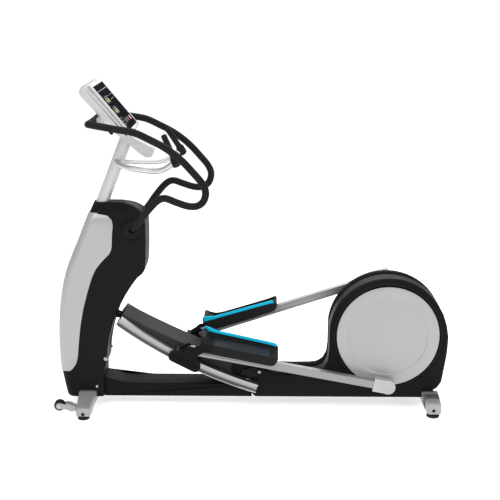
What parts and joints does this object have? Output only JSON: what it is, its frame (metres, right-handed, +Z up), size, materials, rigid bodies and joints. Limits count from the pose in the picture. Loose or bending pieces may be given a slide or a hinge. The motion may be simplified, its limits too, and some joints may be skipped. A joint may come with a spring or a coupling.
{
  "type": "elliptical trainer",
  "caption": "Rear-drive elliptical trainer with an inclining curved ramp, gliding pedal arms, round crank covers, fixed wraparound handlebars and a tilted display.",
  "frame": {"origin": "on the floor, at the centre of the footprint box", "axes": "+X to the rear (drive housing), -X to the front (console), -Y to the user's left, +Z up"},
  "size_m": [2.031, 0.6118, 1.6916],
  "materials": {
    "frame_steel": "satin",
    "silver_paint": "satin",
    "silver_plastic": "satin",
    "arm_silver": "satin",
    "satin_tube": "satin",
    "black_shell": "fine texture",
    "grip_rubber": "matte",
    "foot_rubber": "matte",
    "dark_metal": "satin",
    "bright_steel": "ground",
    "cast_wheel": "machined",
    "ramp_black": "satin",
    "rail_aluminium": "anodised",
    "ramp_cover_grey": "fine texture",
    "roller_plastic": "smooth",
    "pedal_plastic": "moulded",
    "console_shell": "satin",
    "display_gloss": "gloss",
    "key_plastic": "matte",
    "stop_red": "gloss"
  },
  "bodies": {
    "frame": {"base_frame": "frame_steel", "mast": "frame_steel", "console_post": "silver_paint", "base_cover": "black_shell", "housing_left": "black_shell", "housing_right": "black_shell", "shroud_left": "black_shell", "shroud_right": "black_shell", "side_panel_left": "silver_plastic", "side_panel_right": "silver_plastic", "front_stabiliser": "silver_paint", "rear_stabiliser": "silver_paint", "levelling_feet": "foot_rubber", "lift_actuator": "dark_metal", "ramp_shaft": "bright_steel", "handlebar_left": "grip_rubber", "handlebar_right": "grip_rubber", "sensor_tube_left": "satin_tube", "sensor_tube_right": "satin_tube", "pulse_grip_left": "grip_rubber", "pulse_grip_right": "grip_rubber", "handlebar_sockets": "black_shell", "console_back": "console_shell", "console_bezel": "console_shell", "display_panel": "display_gloss", "console_neck": "console_shell", "crank_bearings": "bright_steel", "drive_belt": "foot_rubber"},
    "crank": {"crank_shaft": "bright_steel", "drive_pulley": "dark_metal", "crank_arm_left": "dark_metal", "crank_arm_right": "dark_metal", "crank_disc_left": "silver_plastic", "crank_disc_right": "silver_plastic"},
    "flywheel": {"flywheel": "cast_wheel"},
    "ramp": {"ramp_frame": "ramp_black", "rail_left": "rail_aluminium", "rail_right": "rail_aluminium", "ramp_cover": "ramp_cover_grey"},
    "lift_rod": {"lift_rod": "bright_steel"},
    "carriage_left": {"carriage_left": "ramp_black"},
    "roller_left_front": {"roller_left_front": "roller_plastic"},
    "roller_left_rear": {"roller_left_rear": "roller_plastic"},
    "pivot_pin_left": {"pivot_pin_left": "bright_steel"},
    "arm_left": {"arm_left": "arm_silver", "arm_cap_left": "silver_paint", "pedal_left": "pedal_plastic"},
    "transport_wheel_left": {"transport_wheel_left": "foot_rubber"},
    "carriage_right": {"carriage_right": "ramp_black"},
    "roller_right_front": {"roller_right_front": "roller_plastic"},
    "roller_right_rear": {"roller_right_rear": "roller_plastic"},
    "pivot_pin_right": {"pivot_pin_right": "bright_steel"},
    "arm_right": {"arm_right": "arm_silver", "arm_cap_right": "silver_paint", "pedal_right": "pedal_plastic"},
    "transport_wheel_right": {"transport_wheel_right": "foot_rubber"},
    "key_up": {"key_up": "key_plastic"},
    "key_down": {"key_down": "key_plastic"},
    "stop_button": {"stop_button": "stop_red"}
  },
  "joints": [
    {"name": "crank_spin", "type": "hinge", "parent": "frame", "child": "crank", "pos_m": [0.698, 0, 0.397], "axis": [0, 1, 0], "continuous": true},
    {"name": "flywheel_spin", "type": "hinge", "parent": "frame", "child": "flywheel", "pos_m": [0.52, 0, 0.19], "axis": [0, 1, 0], "continuous": true},
    {"name": "ramp_incline", "type": "hinge", "parent": "frame", "child": "ramp", "pos_m": [0.033, 0, 0.202], "axis": [0, 1, 0], "range_deg": [-8, 8]},
    {"name": "lift_slide", "type": "slide", "parent": "frame", "child": "lift_rod", "axis": [0.342, 0, 0.9397], "range_m": [-0.117, 0.117]},
    {"name": "carriage_left_travel", "type": "hinge", "parent": "ramp", "child": "carriage_left", "pos_m": [0.754, 0, 2.426], "axis": [0, 1, 0], "range_deg": [-6.5, 5.6]},
    {"name": "roller_left_front_spin", "type": "hinge", "parent": "carriage_left", "child": "roller_left_front", "pos_m": [-0.40899, -0.138, 0.29774], "axis": [0, 1, 0], "continuous": true},
    {"name": "roller_left_rear_spin", "type": "hinge", "parent": "carriage_left", "child": "roller_left_rear", "pos_m": [-0.29869, -0.138, 0.24108], "axis": [0, 1, 0], "continuous": true},
    {"name": "pin_left_turn", "type": "hinge", "parent": "carriage_left", "child": "pivot_pin_left", "pos_m": [-0.31797, -0.175, 0.33924], "axis": [0, 1, 0], "range_deg": [-6.5, 6.5]},
    {"name": "arm_left_pitch", "type": "hinge", "parent": "pivot_pin_left", "child": "arm_left", "pos_m": [-0.31797, -0.175, 0.33924], "axis": [0, 1, 0], "range_deg": [-29, 0]},
    {"name": "transport_wheel_left_spin", "type": "hinge", "parent": "frame", "child": "transport_wheel_left", "pos_m": [-0.988, -0.265, 0.07], "axis": [0, 1, 0], "continuous": true},
    {"name": "carriage_right_travel", "type": "hinge", "parent": "ramp", "child": "carriage_right", "pos_m": [0.754, 0, 2.426], "axis": [0, 1, 0], "range_deg": [-5.6, 6.5]},
    {"name": "roller_right_front_spin", "type": "hinge", "parent": "carriage_right", "child": "roller_right_front", "pos_m": [-0.37389, 0.138, 0.27893], "axis": [0, 1, 0], "continuous": true},
    {"name": "roller_right_rear_spin", "type": "hinge", "parent": "carriage_right", "child": "roller_right_rear", "pos_m": [-0.26268, 0.138, 0.22409], "axis": [0, 1, 0], "continuous": true},
    {"name": "pin_right_turn", "type": "hinge", "parent": "carriage_right", "child": "pivot_pin_right", "pos_m": [-0.28357, 0.175, 0.32192], "axis": [0, 1, 0], "range_deg": [-6.5, 6.5]},
    {"name": "arm_right_pitch", "type": "hinge", "parent": "pivot_pin_right", "child": "arm_right", "pos_m": [-0.28357, 0.175, 0.32192], "axis": [0, 1, 0], "range_deg": [0, 29]},
    {"name": "transport_wheel_right_spin", "type": "hinge", "parent": "frame", "child": "transport_wheel_right", "pos_m": [-0.988, 0.265, 0.07], "axis": [0, 1, 0], "continuous": true},
    {"name": "key_up_press", "type": "slide", "parent": "frame", "child": "key_up", "axis": [-0.766, 0, -0.6428], "range_m": [0, 0.0015], "stiffness_N_per_m": 600},
    {"name": "key_down_press", "type": "slide", "parent": "frame", "child": "key_down", "axis": [-0.766, 0, -0.6428], "range_m": [0, 0.0015], "stiffness_N_per_m": 600},
    {"name": "stop_button_press", "type": "slide", "parent": "frame", "child": "stop_button", "axis": [-0.766, 0, -0.6428], "range_m": [0, 0.002], "stiffness_N_per_m": 600}
  ],
  "couplings": [
    {"joint": "flywheel_spin", "follows": "crank_spin", "ratio": 6.8182},
    {"joint": "lift_slide", "follows": "ramp_incline", "m_per_rad": 0.834},
    {"joint": "carriage_right_travel", "follows": "carriage_left_travel", "ratio": -1},
    {"joint": "arm_right_pitch", "follows": "arm_left_pitch", "ratio": -1},
    {"joint": "pin_left_turn", "follows": "ramp_incline", "ratio": -0.8},
    {"joint": "pin_right_turn", "follows": "ramp_incline", "ratio": -0.8}
  ]
}
